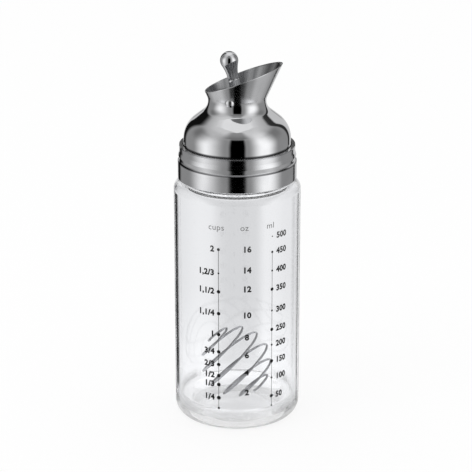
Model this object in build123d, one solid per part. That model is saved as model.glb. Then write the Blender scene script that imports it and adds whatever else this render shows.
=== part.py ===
from build123d import *
import math
import os

# Salad dressing shaker bottle: a straight glass jar, a turning steel collar, a domed steel
# spout with a tilting valve and its thumb lever, and a loose ball-shaped whisk coil.
# Millimetres. The origin is the middle of the jar's foot, +Z is up, the spout pours
# towards +X and the valve's cross pin lies along Y.

# Glass jar
jar_radius = 39.0
jar_wall = 2.0
base_thickness = 3.0
floor_corner = 5.0
foot_corner = 8.0
foot_flat_width = 9.0
foot_recess_depth = 1.2
foot_recess_slope = 3.0
foot_recess_round = 1.5
shoulder_height = 152.9
shoulder_thickness = 2.4
shoulder_corner = 5.5
shoulder_flat_width = 0.7
inner_shoulder_corner = 4.0
inner_shoulder_flat_width = 0.9
neck_root_round = 1.6
neck_wall = 2.6
neck_length = 18.2
rim_round = 1.0

# Steel collar
collar_gap = 1.8
collar_wall = 0.8
collar_band_height = 10.6
collar_step_height = 0.7
collar_waist_inset = 1.05
collar_taper_height = 2.8
collar_taper_growth = 0.7
collar_taper_round = 2.0
collar_top_flare = 0.95
collar_top_width = 3.0
collar_top_round = 0.9
collar_step_round = 0.3
collar_play = 0.1
collar_hole_clearance = 0.35

# Plastic thread ring inside the collar
thread_ring_clearance = 1.6
thread_ring_thickness = 2.65
thread_ring_fit = 0.1
thread_ring_edge_inset = 0.5
thread_ring_top_clearance = 0.4
thread_ring_round = 0.3

# Silicone gasket between the glass rim and the spout's flange
gasket_thickness = 1.8
gasket_rim_clearance = 0.1
gasket_inner_overlap = 1.0
gasket_ring_clearance = 0.4
gasket_round = 0.3

# Domed spout, one spun sheet: seat over the glass rim, folded flange, dome, waist and slanted trumpet
spout_wall = 0.8
seat_setback = 0.2
seat_edge_round = 0.3
flange_clearance = 0.2
flange_root_round = 0.5
dome_shoulder_inset = 0.45
dome_shoulder_rise = 12.45
dome_shoulder_round = 16.0
waist_corner_radius = 15.87
waist_corner_rise = 25.6
waist_round = 7.8
trumpet_growth = 14.5
trumpet_rise = 32.2
lip_height = 41.4
lip_tilt = 20.8

# Cross pin, riveted in the waist
pin_rise = 30.9
pin_radius = 1.5
pin_hole_clearance = 0.02
pin_running_clearance = 0.05
pin_head_radius = 2.8
pin_head_height = 1.6
pin_head_seat = 0.8

# Valve and thumb lever, laid out along the lever's own axis
lever_lean = 13.0
hub_radius = 2.7
hub_end_inset = 4.87
hub_end_round = 0.5
stem_radius = 3.5
stem_start = 0.9
stem_top = 10.5
stem_edge_round = 0.4
knob_gap = 0.05
knob_neck_radius = 3.25
knob_ball_radius = 5.55
knob_ball_height = 22.2
knob_edge_round = 0.4
plate_thickness = 1.0
plate_edge_inset = 1.6
seal_thickness = 2.6
seal_lip_thickness = 0.8
seal_clearance = 0.35
seal_edge_inset = 0.9
seal_grip_inset = 3.4

# Mixing coil: a wire wound on a ball, which lies on the floor near the back of the jar, its axis leaning
coil_radius = 22.1
coil_wire_diameter = 1.5
coil_turns = 6.0
coil_end_angle = 10.5
coil_start_turn = 0.4
coil_axis = (0.683, 0.01, -0.73)
coil_offset_x = -3.7
coil_offset_y = 11.8
coil_floor_clearance = 0.3
coil_quarters_per_turn = 4

# Every cut runs past the material by this much
cut_overrun = 5.0

# Levels that follow from the sizes above
floor_height = base_thickness + foot_recess_depth
rim_height = shoulder_height + neck_length
flange_bottom = rim_height + gasket_rim_clearance + gasket_thickness
flange_top = flange_bottom + 2 * spout_wall
collar_bottom = shoulder_height + collar_gap
collar_underside = flange_top + collar_play
collar_top = collar_underside + collar_wall
pin_height = flange_top + pin_rise

# Radii that follow, from the jar in to its neck, out through the ring and the collar, in to the dome
jar_bore = jar_radius - jar_wall
neck_radius = jar_radius - shoulder_corner - shoulder_flat_width - neck_root_round
neck_bore = neck_radius - neck_wall
thread_ring_bore = neck_radius + thread_ring_clearance
collar_radius = thread_ring_bore + thread_ring_thickness + thread_ring_fit + collar_wall
collar_waist_radius = collar_radius - collar_waist_inset
collar_top_radius = collar_waist_radius + collar_top_flare
collar_hole_radius = collar_top_radius - collar_top_width
dome_radius = collar_hole_radius - collar_hole_clearance
flange_radius = collar_waist_radius - collar_wall - flange_clearance
hub_length = 2 * (waist_corner_radius - hub_end_inset)


# Where the line beside an open outline turns, at a constant distance on its left
def offset_corners(points, distance):
    directions = []
    for (x0, y0), (x1, y1) in zip(points, points[1:]):
        run = math.hypot(x1 - x0, y1 - y0)
        directions.append(((x1 - x0) / run, (y1 - y0) / run))
    before = [directions[0]] + directions
    after = directions + [directions[-1]]
    corners = []
    for (x, y), (ax, ay), (bx, by) in zip(points, before, after):
        reach = distance / (1 + ax * bx + ay * by)
        corners.append((x - (ay + by) * reach, y + (ax + bx) * reach))
    return corners


# The radii of that line's corners: less where the outline turns left, more where it turns right
def offset_radii(points, radii, distance):
    changed = []
    for (x0, y0), (x1, y1), (x2, y2), radius in zip(points, points[1:], points[2:], radii):
        turn = (x1 - x0) * (y2 - y1) - (y1 - y0) * (x2 - x1)
        changed.append(radius - distance * math.copysign(1, turn))
    return changed


# A ring or vessel turned about Z from an outline that closes between its last and first point
def turned(points, radii):
    rounded = FilletPolyline(*points, radius=radii)
    closing = Line(points[-1], points[0])
    section = make_face(rounded.edges() + closing.edges())
    return revolve(Plane.XZ * section, Axis.Z)


def build_glass_jar():
    foot_ring = jar_radius - foot_corner - foot_flat_width
    inner_shoulder = shoulder_height - shoulder_thickness
    inner_neck_root = jar_bore - inner_shoulder_corner - inner_shoulder_flat_width - neck_bore
    outline = [
        (0, foot_recess_depth),
        (foot_ring - foot_recess_slope, foot_recess_depth),
        (foot_ring, 0),
        (jar_radius, 0),
        (jar_radius, shoulder_height),
        (neck_radius, shoulder_height),
        (neck_radius, rim_height),
        (neck_bore, rim_height),
        (neck_bore, inner_shoulder),
        (jar_bore, inner_shoulder),
        (jar_bore, base_thickness),
        (foot_ring, base_thickness),
        (foot_ring - foot_recess_slope, floor_height),
        (0, floor_height),
    ]
    radii = [
        foot_recess_round,
        foot_recess_round,
        foot_corner,
        shoulder_corner,
        neck_root_round,
        rim_round,
        rim_round,
        inner_neck_root,
        inner_shoulder_corner,
        floor_corner,
        foot_recess_round,
        foot_recess_round,
    ]
    return turned(outline, radii)


# Outer line of the collar from the hole in its top down to its lower edge
def collar_line():
    band_top = collar_bottom + collar_band_height
    waist_height = band_top + collar_step_height
    return [
        (collar_hole_radius, collar_top),
        (collar_top_radius, collar_top),
        (collar_waist_radius + collar_taper_growth, waist_height + collar_taper_height),
        (collar_waist_radius, waist_height),
        (collar_radius, band_top),
        (collar_radius, collar_bottom),
    ]


def build_collar_shell():
    outer = collar_line()
    outer_radii = [collar_top_round, collar_taper_round, collar_step_round, collar_step_round]
    inner = offset_corners(outer, -collar_wall)
    inner_radii = [collar_top_round - collar_wall] + outer_radii[1:]
    outer_edges = FilletPolyline(*outer, radius=outer_radii).edges()
    inner_edges = FilletPolyline(*inner, radius=inner_radii).edges()
    ends = Line(outer[0], inner[0]).edges() + Line(outer[-1], inner[-1]).edges()
    section = make_face(outer_edges + inner_edges + ends)
    return revolve(Plane.XZ * section, Axis.Z)


# The ring fills the lower band, and its narrower top goes up inside the waist of the collar
def build_thread_ring():
    skirt = collar_radius - collar_wall - thread_ring_fit
    sleeve = collar_waist_radius - collar_wall - thread_ring_fit
    step = collar_bottom + collar_band_height - collar_step_height
    top = flange_bottom - thread_ring_top_clearance
    outline = [
        (thread_ring_bore, collar_bottom + thread_ring_edge_inset),
        (skirt, collar_bottom + thread_ring_edge_inset),
        (skirt, step),
        (sleeve, step),
        (sleeve, top),
        (thread_ring_bore, top),
    ]
    radii = [thread_ring_round] * 4
    return turned(outline, radii)


def build_rim_gasket():
    inner = neck_bore - gasket_inner_overlap
    outer = thread_ring_bore - gasket_ring_clearance
    bottom = rim_height + gasket_rim_clearance
    outline = [
        (inner, bottom),
        (outer, bottom),
        (outer, flange_bottom),
        (inner, flange_bottom),
    ]
    return turned(outline, [gasket_round, gasket_round])


# Outer line of the spout: in along the flange, up the dome, through the waist, out the trumpet
def spout_line():
    return [
        (flange_radius, flange_top),
        (dome_radius, flange_top),
        (dome_radius - dome_shoulder_inset, flange_top + dome_shoulder_rise),
        (waist_corner_radius, flange_top + waist_corner_rise),
        (waist_corner_radius + trumpet_growth, flange_top + waist_corner_rise + trumpet_rise),
    ]


spout_radii = [flange_root_round, dome_shoulder_round, waist_round]


# The solid that fills the spout from the dome up, set in from its outer line by an inset
def spout_filling(inset):
    points = spout_line()[1:]
    side = offset_corners(points, inset)
    radii = offset_radii(points, spout_radii[1:], inset)
    side_edges = FilletPolyline(*side, radius=radii).edges()
    top_z = side[-1][1]
    bottom_z = side[0][1]
    core_edges = Polyline(side[-1], (0, top_z), (0, bottom_z), side[0]).edges()
    section = make_face(side_edges + core_edges)
    return revolve(Plane.XZ * section, Axis.Z)


def lip_plane():
    tilt = math.radians(lip_tilt)
    return Plane(origin=(0, 0, flange_top + lip_height), z_dir=(-math.sin(tilt), 0, math.cos(tilt)))


# The flange is folded back under itself, and runs in over the glass rim as the gasket's seat
def build_spout_dome():
    outer = spout_line()
    outer_edges = FilletPolyline(*outer, radius=spout_radii).edges()
    seat_radius = neck_bore + seat_setback
    seat = [
        (flange_radius, flange_bottom),
        (seat_radius, flange_bottom),
        (seat_radius, flange_bottom + spout_wall),
    ]
    seat_radii = [seat_edge_round, seat_edge_round]
    inner = seat + offset_corners(outer, spout_wall)[1:]
    inner_radii = seat_radii + [flange_root_round] + offset_radii(outer, spout_radii, spout_wall)[1:]
    inner_edges = FilletPolyline(*inner, radius=inner_radii).edges()
    ends = Line(outer[0], inner[0]).edges() + Line(outer[-1], inner[-1]).edges()
    section = make_face(outer_edges + inner_edges + ends)
    sheet = revolve(Plane.XZ * section, Axis.Z)
    sheet = split(sheet, bisect_by=lip_plane(), keep=Keep.BOTTOM)
    hole = Cylinder(pin_radius + pin_hole_clearance, 2 * (dome_radius + cut_overrun))
    return sheet - Pos(0, 0, pin_height) * Rot(X=90) * hole


# A straight rivet with a domed head formed against the sheet at each end
def build_pivot_pin():
    rise = (pin_height - flange_top - waist_corner_rise) / trumpet_rise
    wall_at_pin = waist_corner_radius + trumpet_growth * rise
    shank = Cylinder(pin_radius, 2 * wall_at_pin)
    cap_radius = (pin_head_radius**2 + pin_head_height**2) / (2 * pin_head_height)
    ball = Pos(0, 0, wall_at_pin + pin_head_height - cap_radius) * Sphere(cap_radius)
    seat = Cylinder(pin_head_radius, pin_head_seat + pin_head_height, align=(Align.CENTER, Align.CENTER, Align.MIN))
    head = ball & (Pos(0, 0, wall_at_pin - pin_head_seat) * seat)
    heads = head + Rot(X=180) * head
    heads = Pos(0, 0, pin_height) * Rot(X=90) * heads
    heads = heads - spout_filling(0)
    return Pos(0, 0, pin_height) * Rot(X=90) * shank + heads


# Frame of the lever: origin on the pin, Z along the leaning lever, Y along the pin
def lever_frame():
    lean = math.radians(lever_lean)
    return Plane(
        origin=(0, 0, pin_height),
        x_dir=(math.cos(lean), 0, math.sin(lean)),
        z_dir=(-math.sin(lean), 0, math.cos(lean)),
    )


def build_lever_hub():
    barrel = Rot(X=90) * Cylinder(hub_radius, hub_length)
    barrel = chamfer(barrel.edges(), hub_end_round)
    foot_length = hub_length - 2 * hub_end_round
    foot = Box(2 * hub_radius, foot_length, hub_radius, align=(Align.CENTER, Align.CENTER, Align.MAX))
    bore = Rot(X=90) * Cylinder(pin_radius + pin_running_clearance, hub_length + cut_overrun)
    return lever_frame() * (barrel + foot - bore)


def build_lever_stem():
    rod = Cylinder(stem_radius, stem_top, align=(Align.CENTER, Align.CENTER, Align.MIN))
    rod = fillet(rod.edges().sort_by(Axis.Z)[-1], stem_edge_round)
    below = Box(2 * hub_radius + cut_overrun, hub_length, 2 * stem_start)
    saddle = Rot(X=90) * Cylinder(hub_radius, hub_length)
    return lever_frame() * (rod - below - saddle)


# A ball that runs down into the neck along a hollow curve, which meets both smoothly
def build_lever_knob():
    foot = stem_top + knob_gap
    drop = knob_ball_height - foot
    ball_excess = 2 * (knob_ball_radius - knob_neck_radius)
    hollow = (knob_neck_radius**2 + drop**2 - knob_ball_radius**2) / ball_excess
    toward_hollow = Vector(knob_neck_radius + hollow, -drop).normalized()
    join = Vector(0, knob_ball_height) + toward_hollow * knob_ball_radius
    tip = Vector(0, knob_ball_height + knob_ball_radius)
    neck = Vector(knob_neck_radius, foot)
    side = TangentArc(neck, join, tangent=(0, 1))
    crown = TangentArc(join, tip, tangent=side % 1)
    base = Polyline(tip, (0, foot), neck)
    section = make_face(side.edges() + crown.edges() + base.edges())
    knob = revolve(Plane.XZ * section, Axis.Z)
    knob = fillet(knob.edges().sort_by(Axis.Z)[0], knob_edge_round)
    return lever_frame() * knob


# A flat disc below the hub, between two depths along the lever, before it is trimmed
def valve_slab(top, thickness):
    slab = Cylinder(dome_radius, thickness, align=(Align.CENTER, Align.CENTER, Align.MAX))
    return lever_frame() * Pos(0, 0, -top) * slab


def build_valve_plate():
    slab = valve_slab(hub_radius, plate_thickness)
    return slab & spout_filling(spout_wall + plate_edge_inset)


# A silicone rim that grips the plate's edge, with a thin lip that follows the wall of the waist
def build_valve_seal():
    middle = hub_radius + plate_thickness / 2
    rim = valve_slab(middle - seal_thickness / 2, seal_thickness)
    rim = rim & spout_filling(spout_wall + seal_edge_inset)
    lip = valve_slab(middle - seal_lip_thickness / 2, seal_lip_thickness)
    lip = lip & spout_filling(spout_wall + seal_clearance)
    bore_radius = waist_corner_radius - seal_grip_inset
    bore = lever_frame() * Cylinder(bore_radius, 2 * (middle + seal_thickness + cut_overrun))
    return rim + lip - bore - build_valve_plate()


# A point of the wire's centre line and the way that it runs there, about the coil's own middle
def coil_point(turn):
    end = math.radians(coil_end_angle)
    rate = (math.pi - 2 * end) / coil_turns
    polar = end + rate * turn
    around = 2 * math.pi * (turn + coil_start_turn)
    pace = rate / (2 * math.pi)
    spot = Vector(math.sin(polar) * math.cos(around), math.sin(polar) * math.sin(around), -math.cos(polar))
    run = Vector(
        pace * math.cos(polar) * math.cos(around) - math.sin(polar) * math.sin(around),
        pace * math.cos(polar) * math.sin(around) + math.sin(polar) * math.cos(around),
        pace * math.sin(polar),
    )
    return spot * coil_radius, run.normalized()


# Two arcs that join two points with the given directions, and meet smoothly between them
def biarc(start, start_run, end, end_run):
    chord = end - start
    both = start_run + end_run
    spread = 2 * (1 - start_run.dot(end_run))
    along = chord.dot(both)
    reach = (math.sqrt(along**2 + spread * chord.dot(chord)) - along) / spread
    first_corner = start + start_run * reach
    second_corner = end - end_run * reach
    middle = (first_corner + second_corner) * 0.5
    middle_run = (second_corner - first_corner).normalized()
    first = Edge.make_tangent_arc(start, start_run, middle)
    second = Edge.make_tangent_arc(middle, middle_run, end)
    return [first, second]


# The least clear distance between one turn of the wire and the next, measured on points
def least_coil_gap(samples_per_turn):
    count = int(coil_turns * samples_per_turn)
    spots = [coil_point(index / samples_per_turn)[0] for index in range(count + 1)]
    least = 2 * coil_radius
    for index, spot in enumerate(spots):
        for other in spots[index + samples_per_turn // 2:]:
            least = min(least, (spot - other).length)
    return least - coil_wire_diameter


def build_mixing_coil():
    count = int(coil_turns * coil_quarters_per_turn)
    stops = [coil_point(index / coil_quarters_per_turn) for index in range(count + 1)]
    first_spot, first_run = stops[0]
    last_spot, last_run = stops[-1]
    edges = [Edge.make_line(first_spot - first_run * coil_wire_diameter, first_spot)]
    for (spot, run), (next_spot, next_run) in zip(stops, stops[1:]):
        edges += biarc(spot, run, next_spot, next_run)
    edges.append(Edge.make_line(last_spot, last_spot + last_run * coil_wire_diameter))
    path = Wire(edges)
    start = Plane(origin=path @ 0, z_dir=path % 0)
    wire = sweep(start * Circle(coil_wire_diameter / 2), path=path)
    leaning = Plane(origin=(coil_offset_x, coil_offset_y, 0), z_dir=coil_axis) * wire
    seat = floor_height + coil_floor_clearance
    return Pos(0, 0, seat - leaning.bounding_box().min.Z) * leaning


builders = {
    "glass_jar": build_glass_jar,
    "mixing_coil": build_mixing_coil,
    "collar_shell": build_collar_shell,
    "thread_ring": build_thread_ring,
    "rim_gasket": build_rim_gasket,
    "spout_dome": build_spout_dome,
    "pivot_pin": build_pivot_pin,
    "lever_hub": build_lever_hub,
    "lever_stem": build_lever_stem,
    "lever_knob": build_lever_knob,
    "valve_plate": build_valve_plate,
    "valve_seal": build_valve_seal,
}

os.makedirs("parts", exist_ok=True)
for node, builder in builders.items():
    shape = builder()
    export_step(shape, f"parts/{node}.step")
    print(node, round(shape.volume, 1))

print("least gap of the coil to itself", round(least_coil_gap(48), 2))
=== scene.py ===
import bpy
import math
from mathutils import Matrix, Vector


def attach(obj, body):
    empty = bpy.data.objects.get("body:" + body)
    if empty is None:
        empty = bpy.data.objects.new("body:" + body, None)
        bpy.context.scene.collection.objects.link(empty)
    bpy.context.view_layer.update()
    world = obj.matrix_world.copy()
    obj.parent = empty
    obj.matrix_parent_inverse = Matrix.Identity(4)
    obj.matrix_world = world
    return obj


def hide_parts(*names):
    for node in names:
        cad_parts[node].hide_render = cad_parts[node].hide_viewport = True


# Looks of the salad dressing shaker bottle. Metres in the scene, millimetres in the dictionaries.

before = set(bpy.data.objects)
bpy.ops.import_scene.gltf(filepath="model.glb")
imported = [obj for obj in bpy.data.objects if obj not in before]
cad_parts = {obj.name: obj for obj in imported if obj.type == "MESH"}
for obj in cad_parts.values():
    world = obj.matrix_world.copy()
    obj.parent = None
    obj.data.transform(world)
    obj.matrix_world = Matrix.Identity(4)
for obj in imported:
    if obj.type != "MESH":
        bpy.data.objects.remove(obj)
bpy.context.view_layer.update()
mm = 0.001

jar = {
    "radius": 38.95, "wall": 1.95, "base": 3.0, "footCorner": 8.0, "floorCorner": 5.0,
    "recessRadius": 19.0, "recessDepth": 1.2, "recessSlope": 3.0, "recessRound": 1.5,
    "shoulder": 152.9, "shoulderWall": 2.4, "shoulderCorner": 5.5, "innerShoulderCorner": 4.0,
    "neckRadius": 31.2, "neckWall": 2.6, "neckLength": 18.2, "neckRoot": 1.6, "innerNeckRoot": 3.5,
    "rimRound": 1.0, "segments": 192, "longestRun": 6.0, "threadRun": 0.3,
}
thread = {"starts": 3, "lead": 12.0, "height": 1.1, "width": 2.0, "low": 156.5, "high": 168.7, "fade": 2.5}
collar = {
    "gap": 1.8, "wall": 0.8, "radius": 36.35, "band": 10.6, "step": 0.7, "waist": 35.3, "top": 36.25,
    "taperHeight": 2.8, "taperGrowth": 0.7, "taperRound": 2.0, "topRound": 0.9, "stepRound": 0.3,
    "play": 0.1, "holeClearance": 0.35, "ringClearance": 1.6, "ringFit": 0.1, "ringInset": 0.5,
    "ringTopClearance": 0.4, "ringRound": 0.3, "segments": 192, "longestRun": 2.0, "ringRun": 3.0,
}
spout = {
    "gasket": 1.9, "wall": 0.8, "flange": 34.3, "flangeRoot": 0.5, "seatSetback": 0.2, "seatRound": 0.3,
    "dome": 32.9, "shoulderInset": 0.45, "shoulderRise": 12.45, "shoulderRound": 16.0,
    "waistRadius": 15.87, "waistRise": 25.6, "waistRound": 7.8, "growth": 14.5, "rise": 32.2,
    "lip": 41.4, "lipTilt": 20.8, "trumpetStart": 6.3, "rows": 26, "lipSteps": 5, "segments": 192,
    "longestRun": 1.5,
}
pin = {"rise": 30.9, "radius": 1.5, "headRadius": 2.8, "headHeight": 1.6, "seat": 0.8, "segments": 48}
lever = {
    "lean": 13.0, "hub": 2.7, "stemRadius": 3.5, "stemStart": 0.9, "stemTop": 10.5, "edge": 0.4,
    "knobGap": 0.05, "neck": 3.25, "ball": 5.55, "ballHeight": 22.2, "segments": 96,
}
coil = {
    "radius": 22.1, "wire": 1.5, "turns": 6.0, "endAngle": 10.5, "startTurn": 0.4,
    "axis": (0.683, 0.01, -0.73), "offset": (-3.7, 11.8), "clearance": 0.3, "perTurn": 72, "sides": 20,
}
# angles and distances that were fitted to the photograph's frame
view = {
    "azimuth": 15.0, "elevation": 19.2, "distance": 1.246, "lens": 153.6, "height": 0.117,
    "right": -0.00073, "up": -0.00126,
}

# Levels worked out as the solids' are
floorTop = jar["base"] + jar["recessDepth"]
rimTop = jar["shoulder"] + jar["neckLength"]
flangeBottom = rimTop + spout["gasket"]
flangeTop = flangeBottom + 2 * spout["wall"]
collarBottom = jar["shoulder"] + collar["gap"]
collarTop = flangeTop + collar["play"] + collar["wall"]
pinHeight = flangeTop + pin["rise"]


# Outline maths

def roundedLine(points, radii, step=0.12):
    # points of an open line whose corners are arcs; a radius of 0 keeps the corner sharp
    line = [Vector(points[0])]
    for before, corner, after, radius in zip(points, points[1:], points[2:], radii):
        before, corner, after = Vector(before), Vector(corner), Vector(after)
        inward, outward = (before - corner).normalized(), (after - corner).normalized()
        half = inward.angle(outward) / 2
        if radius <= 0:
            line.append(corner)
            continue
        centre = corner + (inward + outward).normalized() * (radius / math.sin(half))
        first = corner + inward * (radius / math.tan(half)) - centre
        sweep = math.pi - 2 * half
        turn = math.copysign(1, first.x * outward.y - first.y * outward.x)
        count = max(4, int(sweep / step))
        for index in range(count + 1):
            angle = turn * sweep * index / count
            spun = Vector((first.x * math.cos(angle) - first.y * math.sin(angle),
                           first.x * math.sin(angle) + first.y * math.cos(angle)))
            line.append(centre + spun)
    line.append(Vector(points[-1]))
    return line


def besideLine(points, distance):
    # the corners of the line on the left of an open line, at a constant distance
    runs = [(Vector(b) - Vector(a)).normalized() for a, b in zip(points, points[1:])]
    corners = []
    for point, before, after in zip(points, [runs[0]] + runs, runs + [runs[-1]]):
        reach = distance / (1 + before.dot(after))
        corners.append(Vector(point) + Vector((-before.y - after.y, before.x + after.x)) * reach)
    return corners


def finer(line, longest):
    # splits the long runs of a line, so that a lathe mesh has even rings
    denser = [line[0]]
    for start, end in zip(line, line[1:]):
        count = max(1, math.ceil((end - start).length / longest))
        denser += [start.lerp(end, index / count) for index in range(1, count + 1)]
    return denser


# Mesh makers

def newPiece(name, verts, faces, finish, sharp=35):
    mesh = bpy.data.meshes.new(name)
    mesh.from_pydata([Vector(v) * mm for v in verts], [], faces)
    mesh.update()
    piece = bpy.data.objects.new(name, mesh)
    bpy.context.scene.collection.objects.link(piece)
    mesh.materials.append(finish)
    mesh.polygons.foreach_set("use_smooth", [True] * len(mesh.polygons))
    mesh.set_sharp_from_angle(angle=math.radians(sharp))
    return piece


def lathe(name, line, finish, segments, closed=True, shape=None, sharp=35):
    # turns a line of (radius, height) about Z; shape may move each point by its angle
    least = 1e-5
    line = [line[0]] + [point for before, point in zip(line, line[1:]) if (point - before).length > least]
    if closed and (line[0] - line[-1]).length < least:
        line.pop()
    verts, rings = [], []
    for radius, height in line:
        if radius < 1e-6:
            rings.append([len(verts)] * segments)
            verts.append((0, 0, height))
            continue
        rings.append(list(range(len(verts), len(verts) + segments)))
        for index in range(segments):
            angle = 2 * math.pi * index / segments
            reach, level = shape(radius, height, angle) if shape else (radius, height)
            verts.append((reach * math.cos(angle), reach * math.sin(angle), level))
    pairs = list(zip(rings, rings[1:]))
    if closed:
        pairs.append((rings[-1], rings[0]))
    faces = []
    for low, high in pairs:
        if low[0] == low[1] and high[0] == high[1]:
            continue
        for index in range(segments):
            after = (index + 1) % segments
            corners = [low[index], low[after], high[after], high[index]]
            faces.append(list(dict.fromkeys(corners)))
    return newPiece(name, verts, faces, finish, sharp)


def tube(name, path, radius, sides, finish, cap=0.35):
    # a wire with rounded ends, carried along the path without twist
    rings, verts, faces = [], [], []
    run = (path[1] - path[0]).normalized()
    side = run.orthogonal().normalized()
    last = len(path) - 1
    stations = []
    for index, spot in enumerate(path):
        newRun = (path[min(index + 1, last)] - path[max(index - 1, 0)]).normalized()
        side = (side - newRun * side.dot(newRun)).normalized()
        stations.append((spot, newRun, side.copy()))
    capRings = [(math.cos(a), math.sin(a)) for a in (math.pi / 2 * k / 4 for k in range(4))]
    first, final = stations[0], stations[-1]
    ends = [(first[0] + first[1] * cap * (1 - s), first[1], first[2], radius - cap * (1 - c))
            for c, s in reversed(capRings)]
    body = [(spot, along, across, radius) for spot, along, across in stations[1:-1]]
    tails = [(final[0] - final[1] * cap * (1 - s), final[1], final[2], radius - cap * (1 - c))
             for c, s in capRings]
    for spot, along, across, size in ends + body + tails:
        other = along.cross(across)
        rings.append(len(verts))
        for k in range(sides):
            a = 2 * math.pi * k / sides
            verts.append(spot + across * (size * math.cos(a)) + other * (size * math.sin(a)))
    for low, high in zip(rings, rings[1:]):
        for k in range(sides):
            n = (k + 1) % sides
            faces.append([low + k, low + n, high + n, high + k])
    faces.append([rings[0] + k for k in reversed(range(sides))])
    faces.append([rings[-1] + k for k in range(sides)])
    return newPiece(name, verts, faces, finish)


# Shader maths: a wrapped socket, so that an expression on values adds its nodes

class Sock:
    def __init__(self, tree, link):
        self.tree = tree
        self.link = link

    def node(self, kind, settings=None, sockets=None, output=0):
        return addNode(self.tree, kind, settings, sockets, output)

    def maths(self, operation, first, second=0.0):
        return self.node("ShaderNodeMath", {"operation": operation}, {0: first, 1: second})

    def __add__(self, other):
        return self.maths("ADD", self, other)

    def __radd__(self, other):
        return self.maths("ADD", other, self)

    def __sub__(self, other):
        return self.maths("SUBTRACT", self, other)

    def __rsub__(self, other):
        return self.maths("SUBTRACT", other, self)

    def __mul__(self, other):
        return self.maths("MULTIPLY", self, other)

    def __rmul__(self, other):
        return self.maths("MULTIPLY", other, self)


def addNode(tree, kind, settings=None, sockets=None, output=0):
    node = tree.nodes.new(kind)
    for name, value in (settings or {}).items():
        if name == "stops":
            ramp = node.color_ramp
            while len(ramp.elements) < len(value):
                ramp.elements.new(1.0)
            for element, (place, shade) in zip(ramp.elements, value):
                element.position = place
                element.color = (shade, shade, shade, 1) if isinstance(shade, float) else shade
        else:
            setattr(node, name, value)
    for name, value in (sockets or {}).items():
        if isinstance(value, Sock):
            tree.links.new(value.link, node.inputs[name])
        else:
            node.inputs[name].default_value = value
    return Sock(tree, node.outputs[output] if node.outputs else None)


def newFinish(name):
    material = bpy.data.materials.new(name)
    material.use_nodes = True
    material.node_tree.nodes.clear()
    return material, material.node_tree


def closeFinish(tree, surface):
    addNode(tree, "ShaderNodeOutputMaterial", None, {"Surface": surface})


def objectPlace(tree):
    return addNode(tree, "ShaderNodeTexCoord", None, None, "Object")


def noiseAt(tree, place, scale, detail=3.0, stretch=None):
    if stretch:
        place = addNode(tree, "ShaderNodeMapping", None, {"Vector": place, "Scale": stretch})
    return addNode(tree, "ShaderNodeTexNoise", None, {"Vector": place, "Scale": scale, "Detail": detail})


def evenStep(tree, value, start, stop, low=0.0, high=1.0):
    return addNode(tree, "ShaderNodeMapRange", None, {0: value, 1: start, 2: stop, 3: low, 4: high})


def softStep(tree, value, start, stop, low=0.0, high=1.0):
    return addNode(tree, "ShaderNodeMapRange", {"interpolation_type": "SMOOTHSTEP"},
                   {0: value, 1: start, 2: stop, 3: low, 4: high})


def vectorMaths(tree, operation, first, second=None, output=0):
    sockets = {0: first} if second is None else {0: first, 1: second}
    return addNode(tree, "ShaderNodeVectorMath", {"operation": operation}, sockets, output)


def toneRamp(tree, value, stops):
    return addNode(tree, "ShaderNodeValToRGB", {"stops": stops}, {"Fac": value})


def blend(tree, factor, first, second):
    return addNode(tree, "ShaderNodeMix", {"data_type": "RGBA"}, {0: factor, 6: first, 7: second}, 2)


def heightOf(tree, place):
    return addNode(tree, "ShaderNodeSeparateXYZ", None, {0: place}, "Z")


steelGrain = {"smears": 90.0, "insideEdge": (0.05, -0.1), "streakRough": 0.1, "lineDepth": 0.00002}


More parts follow.
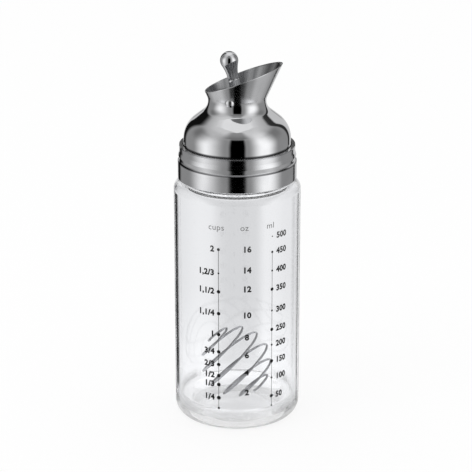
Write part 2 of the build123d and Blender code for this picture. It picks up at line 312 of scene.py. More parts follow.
def steelFinish(name, look):
    # polished steel: fine turning lines round the piece, faint smears in the gloss
    material, tree = newFinish(name)
    place = objectPlace(tree)
    lines = noiseAt(tree, place, 1.0, 2.0, look["lines"])
    smears = noiseAt(tree, place, steelGrain["smears"], 4.0)
    tone = toneRamp(tree, smears, [(0.3, look["dark"]), (0.7, look["light"])])
    rough = look["rough"] + lines * look["lineRough"] + smears * look["smearRough"]
    if "inside" in look:
        # the spout: painted shade on its inside faces, with lighter streaks of painted reflection, rougher
        # in streaks on the trumpet, and a band of painted shade at the seam with the collar
        outward = vectorMaths(tree, "NORMALIZE", vectorMaths(tree, "MULTIPLY", place, (1, 1, 0)))
        normal = addNode(tree, "ShaderNodeNewGeometry", None, None, "Normal")
        facing = vectorMaths(tree, "DOT_PRODUCT", normal, outward, "Value")
        within = evenStep(tree, facing, *steelGrain["insideEdge"])
        streaks = noiseAt(tree, outward, look["streaks"], 4.0)
        # painted shade on the inside faces, streaked with lighter painted reflection
        insidePaintedShade = toneRamp(tree, streaks, [(0.35, look["inside"]), (0.65, look["insideLight"])])
        tone = blend(tree, within, tone, insidePaintedShade)
        rough = rough + within * (look["insideRough"] + streaks * steelGrain["streakRough"])
        height = heightOf(tree, place)
        coneStart, coneFull = (edge * mm for edge in look["cone"])
        cone = softStep(tree, height, coneStart, coneFull)
        rough = rough + cone * streaks * look["coneRough"]
        # painted shade: a dark band round the dome's foot, at the seam with the collar
        seamFull, seamEnd = (edge * mm for edge in look["seam"])
        seam = softStep(tree, height, seamFull, seamEnd, 1.0, 0.0)
        tone = blend(tree, seam, tone, look["seamShadeTone"])
    if "rimHighlight" in look:
        # the collar: a painted highlight along its top rim, which is rougher there too, and painted shade
        # in the groove below its step
        level = heightOf(tree, place)
        # painted highlight: the top rim is turned white and made rougher
        rimStart, rimFull = (edge * mm for edge in look["rimHighlight"])
        rimHighlight = evenStep(tree, level, rimStart, rimFull)
        rough = rough + rimHighlight * look["rimRough"]
        tone = blend(tree, rimHighlight, tone, look["rimHighlightTone"])
        # painted shade in the groove below the step
        start, full, fade, end = (edge * mm for edge in look["groove"])
        grooveShade = evenStep(tree, level, start, full) * evenStep(tree, level, fade, end, 1.0, 0.0)
        tone = blend(tree, grooveShade, tone, look["grooveShadeTone"])
    bump = addNode(tree, "ShaderNodeBump", None, {
        "Height": lines, "Strength": look["bump"], "Distance": steelGrain["lineDepth"]})
    closeFinish(tree, addNode(tree, "ShaderNodeBsdfPrincipled", None, {
        "Base Color": tone, "Metallic": 1.0, "Roughness": rough, "Normal": bump}))
    return material


glassLook = {
    "tint": (0.99, 0.992, 0.995, 1), "baseTint": (0.985, 0.988, 0.992, 1), "tintHeight": 30.0,
    "baseClear": 0.4, "clearHeights": (6.0, 18.0), "ripple": 38.0, "rippleRough": 0.01,
    "rippleStrength": 0.12, "rippleDepth": 0.0004,
}


def glassFinish(look):
    # clear glass with a slow ripple; its thick base lets light straight through too, which keeps it bright
    material, tree = newFinish("clearGlass")
    place = objectPlace(tree)
    ripple = noiseAt(tree, place, look["ripple"], 2.0)
    height = heightOf(tree, place)
    tint = toneRamp(tree, evenStep(tree, height, 0.0, look["tintHeight"] * mm),
                    [(0.0, look["baseTint"]), (1.0, look["tint"])])
    start, full = (edge * mm for edge in look["clearHeights"])
    clear = softStep(tree, height, start, full, look["baseClear"], 1.0)
    bump = addNode(tree, "ShaderNodeBump", None, {
        "Height": ripple, "Strength": look["rippleStrength"], "Distance": look["rippleDepth"]})
    closeFinish(tree, addNode(tree, "ShaderNodeBsdfPrincipled", None, {
        "Base Color": tint, "Roughness": ripple * look["rippleRough"], "IOR": 1.5,
        "Transmission Weight": 1.0, "Normal": bump, "Alpha": clear}))
    return material


def softFinish(name, look):
    # moulded plastic and silicone: fine grain, its tone varying with the grain
    material, tree = newFinish(name)
    place = objectPlace(tree)
    grain = noiseAt(tree, place, look["grain"], 5.0)
    tone = toneRamp(tree, grain, [(0.35, look["dark"]), (0.65, look["light"])])
    bump = addNode(tree, "ShaderNodeBump", None, {"Height": grain, "Strength": 0.15, "Distance": 0.0001})
    closeFinish(tree, addNode(tree, "ShaderNodeBsdfPrincipled", None, {
        "Base Color": tone, "Roughness": look["rough"] + grain * 0.15, "Normal": bump,
        "Subsurface Weight": look["soft"], "Subsurface Radius": (0.002, 0.002, 0.002)}))
    return material


inkLook = {
    "fadeHeights": (70.0, 140.0), "specks": 3000.0, "speckShare": 0.15,
    "stops": [(0.5, 0.006), (0.65, 0.03), (0.77, 0.1), (0.85, 0.17)],
}


def inkFinish(look):
    # fired black ink, a little thinner and greyer towards the top of the scale
    material, tree = newFinish("printInk")
    place = objectPlace(tree)
    start, full = (edge * mm for edge in look["fadeHeights"])
    faded = evenStep(tree, heightOf(tree, place), start, full)
    specks = noiseAt(tree, place, look["specks"], 2.0)
    tone = toneRamp(tree, faded * (1 - look["speckShare"]) + specks * look["speckShare"], look["stops"])
    closeFinish(tree, addNode(tree, "ShaderNodeBsdfPrincipled", None, {
        "Base Color": tone, "Roughness": 0.45 + specks * 0.2, "Specular IOR Level": 0.2}))
    return material


spoutSteel = steelFinish("spoutSteel", {
    "lines": (60.0, 60.0, 5000.0), "dark": (0.74, 0.745, 0.76, 1), "light": (0.83, 0.835, 0.85, 1),
    "rough": 0.02, "lineRough": 0.02, "smearRough": 0.02, "bump": 0.03,
    # inside tones: painted shade, its lighter streaks painted reflection
    "inside": (0.17, 0.174, 0.18, 1), "insideLight": (0.64, 0.645, 0.655, 1), "insideRough": 0.1,
    "streaks": 3.0, "cone": (202.0, 205.5), "coneRough": 0.2,
    # the seam tone is painted shade
    "seam": (175.9, 177.0), "seamShadeTone": (0.09, 0.09, 0.095, 1)})
collarSteel = steelFinish("collarSteel", {
    "lines": (60.0, 60.0, 9000.0), "dark": (0.72, 0.725, 0.74, 1), "light": (0.81, 0.815, 0.83, 1),
    "rough": 0.03, "lineRough": 0.12, "smearRough": 0.03, "bump": 0.3,
    # the rim tone is a painted highlight
    "rimHighlight": (174.7, 175.2), "rimRough": 0.14, "rimHighlightTone": (1, 1, 1, 1),
    # the groove tone is painted shade
    "groove": (164.8, 165.0, 165.5, 165.9), "grooveShadeTone": (0.25, 0.25, 0.26, 1)})
knobSteel = steelFinish("knobSteel", {
    "lines": (200.0, 200.0, 2500.0), "dark": (0.74, 0.745, 0.76, 1), "light": (0.84, 0.845, 0.86, 1),
    "rough": 0.03, "lineRough": 0.02, "smearRough": 0.03, "bump": 0.03})
wireSteel = steelFinish("wireSteel", {
    "lines": (700.0, 700.0, 700.0), "dark": (0.38, 0.385, 0.4, 1), "light": (0.54, 0.545, 0.56, 1),
    "rough": 0.12, "lineRough": 0.1, "smearRough": 0.05, "bump": 0.1})
clearGlass = glassFinish(glassLook)
ringPlastic = softFinish("ringPlastic", {
    "grain": 900.0, "dark": (0.88, 0.88, 0.87, 1), "light": (0.94, 0.94, 0.93, 1),
    "rough": 0.4, "soft": 0.0})
silicone = softFinish("silicone", {
    "grain": 1300.0, "dark": (0.8, 0.8, 0.79, 1), "light": (0.87, 0.87, 0.85, 1),
    "rough": 0.45, "soft": 0.3})
printInk = inkFinish(inkLook)
print("finishes made")


# Thread shared by the glass neck and the plastic ring

def threadHeight(height, angle, shift=0.0):
    turns = (height - thread["low"]) / thread["lead"]
    phase = turns * thread["starts"] - thread["starts"] * angle / (2 * math.pi)
    pitch = thread["lead"] / thread["starts"]
    off = (phase + shift) - round(phase + shift)
    ridge = max(0.0, 1 - (2 * off * pitch / thread["width"]) ** 2)
    ends = min(1.0, max(0.0, (height - thread["low"]) / thread["fade"]))
    ends *= min(1.0, max(0.0, (thread["high"] - height) / thread["fade"]))
    return thread["height"] * ridge * ends


def makeJar():
    bore = jar["radius"] - jar["wall"]
    innerShoulder = jar["shoulder"] - jar["shoulderWall"]
    neckBore = jar["neckRadius"] - jar["neckWall"]
    points = [
        (0, jar["recessDepth"]), (jar["recessRadius"], jar["recessDepth"]),
        (jar["recessRadius"] + jar["recessSlope"], 0), (jar["radius"], 0), (jar["radius"], jar["shoulder"]),
        (jar["neckRadius"], jar["shoulder"]), (jar["neckRadius"], rimTop), (neckBore, rimTop),
        (neckBore, innerShoulder), (bore, innerShoulder), (bore, jar["base"]),
        (jar["recessRadius"] + jar["recessSlope"], jar["base"]), (jar["recessRadius"], floorTop),
        (0, floorTop),
    ]
    radii = [
        jar["recessRound"], jar["recessRound"], jar["footCorner"], jar["shoulderCorner"], jar["neckRoot"],
        jar["rimRound"], jar["rimRound"], jar["innerNeckRoot"], jar["innerShoulderCorner"],
        jar["floorCorner"], jar["recessRound"], jar["recessRound"],
    ]
    line = finer(roundedLine(points, radii, 0.08), jar["longestRun"])
    dense = []
    for start, end in zip(line, line[1:]):
        # the wall of the neck needs rows that are fine enough to carry the thread
        onWall = min(start.x, end.x) > jar["neckRadius"] - 0.01 and start.x < jar["neckRadius"] + 0.1
        onNeck = onWall and start.y > thread["low"] - 3
        dense += finer([start, end], jar["threadRun"] if onNeck else jar["longestRun"])[:-1]
    dense.append(line[-1])

    def bulge(radius, height, angle):
        if abs(radius - jar["neckRadius"]) < 0.01:
            radius += threadHeight(height, angle)
        return radius, height

    piece = lathe("jarGlass", dense, clearGlass, jar["segments"], closed=False, shape=bulge, sharp=60)
    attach(piece, "jar")
    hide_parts("glass_jar")


def makeCollar():
    bandTop = collarBottom + collar["band"]
    waistHeight = bandTop + collar["step"]
    outer = [
        (spout["dome"] + collar["holeClearance"], collarTop), (collar["top"], collarTop),
        (collar["waist"] + collar["taperGrowth"], waistHeight + collar["taperHeight"]),
        (collar["waist"], waistHeight), (collar["radius"], bandTop), (collar["radius"], collarBottom),
    ]
    outerRadii = [collar["topRound"], collar["taperRound"], collar["stepRound"], collar["stepRound"]]
    inner = besideLine(outer, -collar["wall"])
    innerRadii = [collar["topRound"] - collar["wall"]] + outerRadii[1:]
    edge = collar["wall"] * 0.5 - 0.01
    around = outer + [tuple(p) for p in reversed(inner)]
    radii = outerRadii + [edge, edge] + list(reversed(innerRadii)) + [edge]
    around = around + [around[0]]
    line = finer(roundedLine(around, radii, 0.15), collar["longestRun"])
    shell = lathe("collarSteelShell", line, collarSteel, collar["segments"])
    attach(shell, "collar")
    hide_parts("collar_shell")

    bore = jar["neckRadius"] + collar["ringClearance"]
    skirt = collar["radius"] - collar["wall"] - collar["ringFit"]
    sleeve = collar["waist"] - collar["wall"] - collar["ringFit"]
    step = bandTop - collar["step"]
    low = collarBottom + collar["ringInset"]
    top = flangeBottom - collar["ringTopClearance"]
    corner = collar["ringRound"]
    points = [
        (bore, low), (skirt, low), (skirt, step), (sleeve, step), (sleeve, top), (bore, top), (bore, low),
    ]
    ringLine = roundedLine(points, [corner] * 5, 0.3)
    dense = []
    for start, end in zip(ringLine, ringLine[1:]):
        onBore = abs(start.x - bore) < 0.01 and abs(end.x - bore) < 0.01
        dense += finer([start, end], jar["threadRun"] if onBore else collar["ringRun"])[:-1]
    dense.append(ringLine[-1])

    def bulge(radius, height, angle):
        if abs(radius - bore) < 0.01:
            radius -= threadHeight(height, angle, 0.5)
        return radius, height

    ring = lathe("threadRingPlastic", dense, ringPlastic, collar["segments"], shape=bulge, sharp=50)
    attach(ring, "collar")
    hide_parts("thread_ring")


def makeSpout():
    outer = [
        (spout["flange"], flangeTop), (spout["dome"], flangeTop),
        (spout["dome"] - spout["shoulderInset"], flangeTop + spout["shoulderRise"]),
        (spout["waistRadius"], flangeTop + spout["waistRise"]),
        (spout["waistRadius"] + spout["growth"], flangeTop + spout["waistRise"] + spout["rise"]),
    ]
    radii = [spout["flangeRoot"], spout["shoulderRound"], spout["waistRound"]]
    seat = jar["neckRadius"] - jar["neckWall"] + spout["seatSetback"]
    inner = [(spout["flange"], flangeBottom), (seat, flangeBottom), (seat, flangeBottom + spout["wall"])]
    inner += besideLine(outer, spout["wall"])[1:]
    innerRadii = [spout["seatRound"], spout["seatRound"], spout["flangeRoot"],
                  spout["shoulderRound"] - spout["wall"], spout["waistRound"] + spout["wall"]]
    outerLine = finer(roundedLine(outer, radii, 0.06), spout["longestRun"])
    innerLine = finer(roundedLine(inner, innerRadii, 0.06), spout["longestRun"])
    slope = math.tan(math.radians(spout["lipTilt"]))
    lipHeight = flangeTop + spout["lip"]
    coneStart = flangeTop + spout["waistRise"] + spout["trumpetStart"]
    rows = spout["rows"]
    lipSteps = spout["lipSteps"]

    def startOfTrumpet(line):
        return max(index for index, point in enumerate(line) if point.y < coneStart)

    def cutPoint(line, cosine):
        # where the straight trumpet line meets the slanted plane of the lip at this angle
        end, before = line[-1], line[-2]
        run = (end - before).normalized()
        gap = (lipHeight + end.x * cosine * slope - end.y) / (run.y - run.x * cosine * slope)
        return end + run * gap

    outStart, inStart = startOfTrumpet(outerLine), startOfTrumpet(innerLine)
    segments = spout["segments"]
    columns = []
    for index in range(segments):
        angle = 2 * math.pi * index / segments
        cosine = math.cos(angle)
        outEnd, inEnd = cutPoint(outerLine, cosine), cutPoint(innerLine, cosine)
        column = list(outerLine[:outStart + 1])
        base = outerLine[outStart]
        half = spout["wall"] / 2
        run = (outEnd - base).normalized()
        outStop = outEnd - run * half
        column += [base.lerp(outStop, k / rows) for k in range(1, rows + 1)]
        inBase = innerLine[inStart]
        inStop = inEnd - run * half
        middle = (outStop + inStop) / 2
        across = outStop - middle
        for k in range(1, lipSteps):
            a = math.pi * k / lipSteps
            column.append(middle + across * math.cos(a) + run * (half * math.sin(a)))
        column += [inStop.lerp(inBase, k / rows) for k in range(rows + 1)]
        column += list(reversed(innerLine[:inStart]))
        columns.append((angle, column))
    count = len(columns[0][1])
    verts, faces = [], []
    for angle, column in columns:
        verts += [(p.x * math.cos(angle), p.x * math.sin(angle), p.y) for p in column]
    for index in range(segments):
        here, there = index * count, (index + 1) % segments * count
        for row in range(count):
            nextRow = (row + 1) % count
            faces.append([here + row, there + row, there + nextRow, here + nextRow])
    piece = newPiece("spoutSteelShell", verts, faces, spoutSteel, 50)
    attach(piece, "spout")
    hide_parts("spout_dome")


def leverMatrix():
    lean = math.radians(lever["lean"])
    turned = Matrix.Rotation(-lean, 4, "Y")
    return Matrix.Translation((0, 0, pinHeight)) @ turned


def placeVerts(piece, matrix):
    for vertex in piece.data.vertices:
        vertex.co = (matrix @ (vertex.co / mm)) * mm
    piece.data.update()


def makeLever():
    drop = lever["ballHeight"] - lever["stemTop"] - lever["knobGap"]
    foot = lever["stemTop"] + lever["knobGap"]
    ball, neck = lever["ball"], lever["neck"]
    hollow = (neck**2 + drop**2 - ball**2) / (2 * (ball - neck))
    centre = Vector((neck + hollow, foot))
    toHollow = (centre - Vector((0, lever["ballHeight"]))).normalized()
    join = Vector((0, lever["ballHeight"])) + toHollow * ball
    sweep = math.asin((join.y - foot) / hollow)
    line = [Vector((0, foot)), Vector((neck - lever["edge"], foot))]
    edge = lever["edge"]
    for k in range(4):
        a = math.pi / 2 * (k + 1) / 4
        line.append(Vector((neck - edge * (1 - math.sin(a)), foot + edge * (1 - math.cos(a)))))
    low = math.asin(edge / hollow)
    for k in range(1, 15):
        a = low + (sweep - low) * k / 14
        line.append(centre + Vector((-math.cos(a), math.sin(a))) * hollow)
    begin = math.atan2(join.y - lever["ballHeight"], join.x)
    for k in range(1, 25):
        a = begin + (math.pi / 2 - begin) * k / 24
        line.append(Vector((ball * math.cos(a), lever["ballHeight"] + ball * math.sin(a))))
    line[-1].x = 0.0
    knob = lathe("knobSteelBall", line, knobSteel, lever["segments"], closed=False, sharp=60)
    placeVerts(knob, leverMatrix())
    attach(knob, "lever")
    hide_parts("lever_knob")

    stemPoints = [
        (0, lever["hub"]), (lever["stemRadius"], lever["hub"]), (lever["stemRadius"], lever["stemTop"]),
        (0, lever["stemTop"]),
    ]
    stemLine = roundedLine(stemPoints, [0, edge], 0.2)

    def saddle(radius, height, angle):
        # the stem's foot follows the round hub
        if height > lever["hub"] + 0.01:
            return radius, height
        across = radius * math.cos(angle)
        under = lever["hub"]**2 - across**2
        return radius, max(lever["stemStart"], math.sqrt(under) if under > 0 else 0)

    stem = lathe("stemSteelRod", stemLine, knobSteel, lever["segments"], closed=False, shape=saddle,
                 sharp=50)
    placeVerts(stem, leverMatrix())
    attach(stem, "lever")
    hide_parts("lever_stem")


def makePin():
    rise = (pinHeight - flangeTop - spout["waistRise"]) / spout["rise"]
    wall = spout["waistRadius"] + spout["growth"] * rise
    head, tall, seat = pin["headRadius"], pin["headHeight"], pin["seat"]
    cap = (head**2 + tall**2) / (2 * tall)
    centre = wall + tall - cap
    line = [Vector((0, wall + tall))]
    for k in range(1, 13):
        a = math.asin(head / cap) * k / 12
        line.append(Vector((cap * math.sin(a), centre + cap * math.cos(a))))
    line += [Vector((head, wall - seat)), Vector((pin["radius"], wall - seat)), Vector((pin["radius"], 0))]
    mirrored = [Vector((p.x, -p.y)) for p in reversed(line[:-1])]
    rivet = lathe("rivetSteelPin", line + mirrored, knobSteel, pin["segments"], closed=False, sharp=50)
    placeVerts(rivet, Matrix.Translation((0, 0, pinHeight)) @ Matrix.Rotation(math.radians(90), 4, "X"))
    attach(rivet, "spout")
    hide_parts("pivot_pin")


def makeCoil():
    end = math.radians(coil["endAngle"])
    count = int(coil["turns"] * coil["perTurn"])
    path = []
    for index in range(count + 1):
        turn = index / coil["perTurn"]
        polar = end + (math.pi - 2 * end) * turn / coil["turns"]
        around = 2 * math.pi * (turn + coil["startTurn"])
        path.append(Vector((math.sin(polar) * math.cos(around), math.sin(polar) * math.sin(around),
                            -math.cos(polar))) * coil["radius"])
    path.insert(0, path[0] + (path[0] - path[1]).normalized() * coil["wire"])
    path.append(path[-1] + (path[-1] - path[-2]).normalized() * coil["wire"])
    away = Vector(coil["axis"]).normalized()
    across = Vector((-away.z, 0, away.x)).normalized()
    other = away.cross(across)
    path = [across * p.x + other * p.y + away * p.z for p in path]
    piece = tube("whiskWire", path, coil["wire"] / 2, coil["sides"], wireSteel)
    low = min(vertex.co.z for vertex in piece.data.vertices)
    lift = (floorTop + coil["clearance"]) * mm - low
    for vertex in piece.data.vertices:
        vertex.co += Vector((coil["offset"][0] * mm, coil["offset"][1] * mm, lift))
    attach(piece, "coil")
    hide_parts("mixing_coil")


makeJar()
makeCollar()
makeSpout()
makeLever()
makePin()
makeCoil()
for node, finish in (("rim_gasket", silicone), ("valve_seal", silicone), ("valve_plate", spoutSteel),
                     ("lever_hub", knobSteel)):
    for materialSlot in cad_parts[node].material_slots:
        materialSlot.material = finish
print("pieces made")


# Printed scale: for each mark a height above the foot, a dot's radius and a label; turns in degrees

scale = {
    "azimuth": 15.0, "inkDepth": -0.025, "letter": 5.1, "bold": 0.045, "spread": 1.06,
    "lineWidth": 0.3, "rightLine": 32.9, "leftLine": -16.9, "ounces": 8.8,
    "rightLabel": 37.5, "leftLabel": -20.9, "headLift": 133.9, "headLetter": 5.3, "headBold": 0.0,
    "right": [(126.9, 0.45, "500"), (116.9, 0.8, "450"), (104.9, 0.65, "400"), (92.9, 1.1, "350"),
              (79.0, 0.65, "300"), (66.6, 1.1, "250"), (56.5, 0.7, "200"), (45.7, 1.15, "150"),
              (34.7, 0.7, "100"), (22.5, 1.15, "50"), (16.1, 0.6, "")],
    "left": [(120.0, 0.95, "2"), (104.8, 0.6, "1,2/3"), (92.9, 1.15, "1,1/2"), (78.7, 1.15, "1,1/4"),
             (65.0, 1.15, "1"), (53.6, 1.15, "3/4"), (45.2, 1.15, "2/3"), (37.9, 1.15, "1/2"),
             (31.9, 1.2, "1/3"), (23.1, 1.25, "1/4"), (16.2, 0.75, "")],
    "middle": [(120.2, "16"), (106.9, "14"), (94.7, "12"), (77.8, "10"), (63.3, "8"), (51.6, "6"),
               (40.2, "4"), (26.9, "2")],
    "heads": [(-19.0, "cups"), (6.4, "oz"), (30.9, "ml")], "lineRows": 24, "dotSides": 24,
}


def onJar(turn, height, depth):
    angle = math.radians(scale["azimuth"] + turn)
    reach = (jar["radius"] - depth) * mm
    return Vector((reach * math.sin(angle), -reach * math.cos(angle), height * mm))


def inkText(text, size, side, bold):
    curve = bpy.data.curves.new("label", "FONT")
    curve.body = text
    curve.size = size
    curve.space_character = scale["spread"]
    curve.offset = bold * size
    curve.align_x = side
    curve.align_y = "CENTER"
    curve.resolution_u = 3
    holder = bpy.data.objects.new("label", curve)
    bpy.context.scene.collection.objects.link(holder)
    depsgraph = bpy.context.evaluated_depsgraph_get()
    mesh = bpy.data.meshes.new_from_object(holder.evaluated_get(depsgraph))
    verts = [(v.co.x, v.co.y) for v in mesh.vertices]
    faces = [tuple(p.vertices) for p in mesh.polygons]
    bpy.data.objects.remove(holder)
    bpy.data.curves.remove(curve)
    bpy.data.meshes.remove(mesh)
    return verts, faces


def addInk(store, flat, faces, turn, height):
    base = len(store["verts"])
    perDegree = math.radians(1) * jar["radius"]
    for x, y in flat:
        store["verts"].append(onJar(turn + x / perDegree, height + y, scale["inkDepth"]))
    store["faces"] += [tuple(base + index for index in face) for face in faces]


def makeScale():
    store = {"verts": [], "faces": []}
    for place, marks in (("rightLine", "right"), ("leftLine", "left")):
        turn = scale[place]
        tops = [mark[0] for mark in scale[marks]]
        high, low = (tops[1] if marks == "right" else tops[0]), tops[-1]
        half = scale["lineWidth"] / 2
        rows = scale["lineRows"]
        steps = [low - high + (high - low) * k / rows for k in range(rows + 1)]
        flat = [(side * half, step) for step in steps for side in (-1, 1)]
        faces = [(2 * k, 2 * k + 1, 2 * k + 3, 2 * k + 2) for k in range(rows)]
        addInk(store, flat, faces, turn, high)
        for height, size, label in scale[marks]:
            sides = scale["dotSides"]
            angles = [2 * math.pi * k / sides for k in range(sides)]
            disc = [(size * math.cos(a), size * math.sin(a)) for a in angles]
            addInk(store, disc, [tuple(range(sides))], turn, height)
            if label:
                side = "LEFT" if marks == "right" else "RIGHT"
                letters, shapes = inkText(label, scale["letter"], side, scale["bold"])
                addInk(store, letters, shapes, scale[marks + "Label"], height)
    for height, label in scale["middle"]:
        letters, shapes = inkText(label, scale["letter"], "CENTER", scale["bold"])
        addInk(store, letters, shapes, scale["ounces"], height)
    for turn, label in scale["heads"]:
        letters, shapes = inkText(label, scale["headLetter"], "CENTER", scale["headBold"])
        addInk(store, letters, shapes, turn, scale["headLift"])
    mesh = bpy.data.meshes.new("scaleInk")
    mesh.from_pydata(store["verts"], [], store["faces"])
    mesh.update()
    mesh.materials.append(printInk)
    piece = bpy.data.objects.new("scaleInk", mesh)
    bpy.context.scene.collection.objects.link(piece)
    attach(piece, "jar")
    print("scale printed")


makeScale()


# Studio: a white floor and a surround of soft boxes and black flags that the steel mirrors.
# Turns are degrees round from the camera's side and rises are degrees above the horizon. Each row says
# where a box, flag or shade starts, is full, begins to fade and ends.

studio = {
    "floorSize": 6.0, "floorTone": 0.9, "floorShade": 0.12, "base": 0.29, "leanLevel": 18,
    "lights": {
        "leftBox": {"turn": (-108, -68, -72, -24), "rise": (-62, -6, 14, 58), "strength": 0.8},
        "rightBox": {"turn": (23, 56, 64, 100), "rise": (-62, -6, 16, 70), "strength": 0.92},
        "leftGlow": {"turn": (-150, -110, -80, -50), "rise": (-90, -60, -45, -20), "strength": 0.26},
        "rightGlow": {"turn": (60, 85, 110, 150), "rise": (-90, -60, -45, -20), "strength": 0.2},
        "ceiling": {"turn": (-190, -185, 185, 190), "rise": (30, 68, 91, 95), "strength": 0.38},
        "backLeft": {
            "turn": (-190, -185, -166, -162), "rise": (-60, -30, 30, 60), "strength": 0.4, "lean": -0.22},
        "backRight": {
            "turn": (148, 152, 190, 195), "rise": (-60, -30, 30, 60), "strength": 0.34, "lean": 0.22},
    },
    "flags": {
        "front": {"turn": (-21, -12, 13.5, 21), "rise": (-95, -91, 34, 45), "strength": 1.0},
        "frontHigh": {"turn": (-50, -16, 16, 38), "rise": (38, 45, 70, 74), "strength": 0.55},
        "frontLeft": {"turn": (-44, -33, -14, -12), "rise": (-95, -91, -60, -48), "strength": 0.9},
        "frontRight": {"turn": (14, 16, 28, 52), "rise": (-95, -91, -60, -48), "strength": 0.9},
        "left": {
            "turn": (-164, -162, -149, -137), "rise": (-70, -45, 45, 65), "strength": 0.98, "lean": -0.22},
        "right": {
            "turn": (137, 142, 148, 151), "rise": (-70, -45, 45, 65), "strength": 0.9, "lean": 0.22},
        "leftTop": {"turn": (-130, -110, -85, -45), "rise": (2, 24, 34, 48), "strength": 0.34},
        "rightTop": {"turn": (45, 85, 110, 130), "rise": (2, 26, 34, 48), "strength": 0.26},
        "backTopLeft": {"turn": (-182, -181, -168, -160), "rise": (-4, 4, 30, 45), "strength": 0.9},
        "backTopRight": {"turn": (160, 168, 181, 182), "rise": (-4, 4, 30, 45), "strength": 0.9},
    },
    # a panel nearly overhead, whose pointed front edge shows in the dome
    "panelFront": 0.33, "panelSlope": 1.1, "panelSide": 0.45, "panelRise": 50, "panelStrength": 0.2,
    "panelBlur": 0.02, "panelRiseBlur": 5,
    # the pale backdrop that is seen through the glass, brighter low down, with its shades
    "backdrop": (0.845, 0.85, 0.865), "backRise": (-95, -91, 2, 10),
    "backLow": (-24, -20.5), "backGrowth": 0.27,
    "backShades": {
        "leftLine": {"turn": (-161, -159, -146, -134), "rise": (-24, -23, -15, -14), "strength": 0.97},
        "rightLine": {"turn": (149, 151, 154, 156), "rise": (-24, -23, -15, -14), "strength": 0.85},
        "middle": {"turn": (177.8, 178.8, 181, 182), "rise": (-27, -25, -10, -5), "strength": 0.18},
        "middleLeft": {"turn": (-182, -181, -179.3, -178.0), "rise": (-27, -25, -10, -5), "strength": 0.18},
    },
    "key": {"spot": (-0.7, -0.9, 1.3), "aim": (0, 0, 0.1), "size": 0.8, "power": 4.0},
}


def viewFrame():
    azimuth, elevation = math.radians(view["azimuth"]), math.radians(view["elevation"])
    back = Vector((math.sin(azimuth) * math.cos(elevation), -math.cos(azimuth) * math.cos(elevation),
                   math.sin(elevation)))
    right = Vector((math.cos(azimuth), math.sin(azimuth), 0))
    return back, right, back.cross(right)


def makeCamera():
    back, right, up = viewFrame()
    target = Vector((0, 0, view["height"])) + right * view["right"] + up * view["up"]
    data = bpy.data.cameras.new("photoCamera")
    data.lens = view["lens"]
    data.sensor_width = 36.0
    data.clip_start = 0.01
    data.clip_end = 50.0
    camera = bpy.data.objects.new("photoCamera", data)
    bpy.context.scene.collection.objects.link(camera)
    camera.location = target + back * view["distance"]
    camera.rotation_mode = "QUATERNION"
    camera.rotation_quaternion = Matrix((right, up, back)).transposed().to_quaternion()
    bpy.context.scene.camera = camera


def rayKind(tree, name):
    return addNode(tree, "ShaderNodeLightPath", None, None, name)


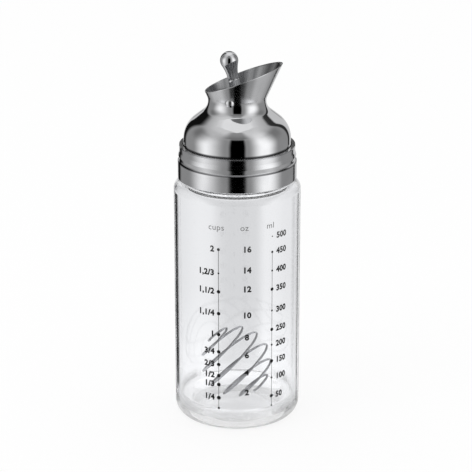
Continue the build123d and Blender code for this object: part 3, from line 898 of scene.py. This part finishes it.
def makeSurround():
    world = bpy.data.worlds.new("studio")
    bpy.context.scene.world = world
    world.use_nodes = True
    tree = world.node_tree
    tree.nodes.clear()
    direction = addNode(tree, "ShaderNodeTexCoord", None, None, "Generated")
    azimuth = math.radians(view["azimuth"])

    def along(axis):
        return vectorMaths(tree, "DOT_PRODUCT", direction, axis, "Value")

    def ramp(value, start, stop):
        if start < stop:
            return softStep(tree, value, start, stop)
        return softStep(tree, value, stop, start, 1.0, 0.0)

    def window(value, edges):
        start, full, fade, end = edges
        return ramp(value, start, full) * ramp(value, end, fade)

    toward = along((math.sin(azimuth), -math.cos(azimuth), 0))
    side = along((math.cos(azimuth), math.sin(azimuth), 0))
    turn = side.maths("ARCTAN2", side, toward) * (180 / math.pi)
    rise = along((0, 0, 1))
    rise = rise.maths("ARCSINE", rise) * (180 / math.pi)

    def reach(item):
        # how much of a light or flag is met, its edges leaning over with the height where asked
        place = turn + (rise + studio["leanLevel"]) * item["lean"] if "lean" in item else turn
        return window(place, item["turn"]) * window(rise, item["rise"]) * item["strength"]

    shade = studio["base"]
    for light in studio["lights"].values():
        shade = shade + reach(light)
    across = side.maths("ABSOLUTE", side)
    panel = toward + across * studio["panelSlope"]
    blur, riseBlur = studio["panelBlur"], studio["panelRiseBlur"]
    panel = ramp(panel, studio["panelFront"] + blur, studio["panelFront"] - blur)
    panel = panel * ramp(across, studio["panelSide"] + blur, studio["panelSide"] - blur)
    panel = panel * ramp(rise, studio["panelRise"] - riseBlur, studio["panelRise"] + riseBlur)
    shade = shade + panel * studio["panelStrength"]
    for flag in studio["flags"].values():
        shade = shade * (1 - reach(flag))
    low, high = studio["backLow"]
    through = ramp(rise, high, low) * studio["backGrowth"] + 1
    for line in studio["backShades"].values():
        through = through * (1 - reach(line))
    seenThrough = rayKind(tree, "Is Transmission Ray") * window(rise, studio["backRise"])
    backdrop = addNode(tree, "ShaderNodeVectorMath", {"operation": "SCALE"}, {
        0: studio["backdrop"], "Scale": through})
    shown = blend(tree, seenThrough, shade, backdrop)
    # white for the camera and for dull surfaces
    plain = rayKind(tree, "Is Camera Ray")
    plain = plain.maths("MAXIMUM", plain, rayKind(tree, "Is Diffuse Ray"))
    shown = blend(tree, plain, shown, (1, 1, 1, 1))
    background = addNode(tree, "ShaderNodeBackground", None, {"Color": shown, "Strength": 1.0})
    addNode(tree, "ShaderNodeOutputWorld", None, {"Surface": background})


def makeFloor():
    half = studio["floorSize"] / 2
    corners = [(-half, -half, 0), (half, -half, 0), (half, half, 0), (-half, half, 0)]
    mesh = bpy.data.meshes.new("studioFloor")
    mesh.from_pydata(corners, [], [(0, 1, 2, 3)])
    floor = bpy.data.objects.new("studioFloor", mesh)
    bpy.context.scene.collection.objects.link(floor)
    material, tree = newFinish("studioFloor")
    tone = studio["floorTone"]
    shaded = addNode(tree, "ShaderNodeBsdfDiffuse", None, {"Color": (tone, tone, tone, 1)})
    white = addNode(tree, "ShaderNodeEmission", None, {"Color": (1, 1, 1, 1), "Strength": 1.0})
    seen = rayKind(tree, "Is Camera Ray")
    closeFinish(tree, addNode(tree, "ShaderNodeMixShader", None, {
        0: seen * (1 - studio["floorShade"]), 1: shaded, 2: white}))
    mesh.materials.append(material)
    floor.visible_glossy = False
    floor.visible_transmission = False


def makeLamp(name, look):
    data = bpy.data.lights.new(name, "AREA")
    data.size = look["size"]
    data.energy = look["power"]
    lamp = bpy.data.objects.new(name, data)
    bpy.context.scene.collection.objects.link(lamp)
    lamp.location = look["spot"]
    aim = Vector(look["aim"]) - Vector(look["spot"])
    lamp.rotation_mode = "QUATERNION"
    lamp.rotation_quaternion = aim.to_track_quat("-Z", "Y")
    lamp.visible_glossy = False
    lamp.visible_transmission = False


makeCamera()
makeSurround()
makeFloor()
makeLamp("softKey", studio["key"])
bpy.context.scene.view_settings.view_transform = "Standard"
print("studio set")
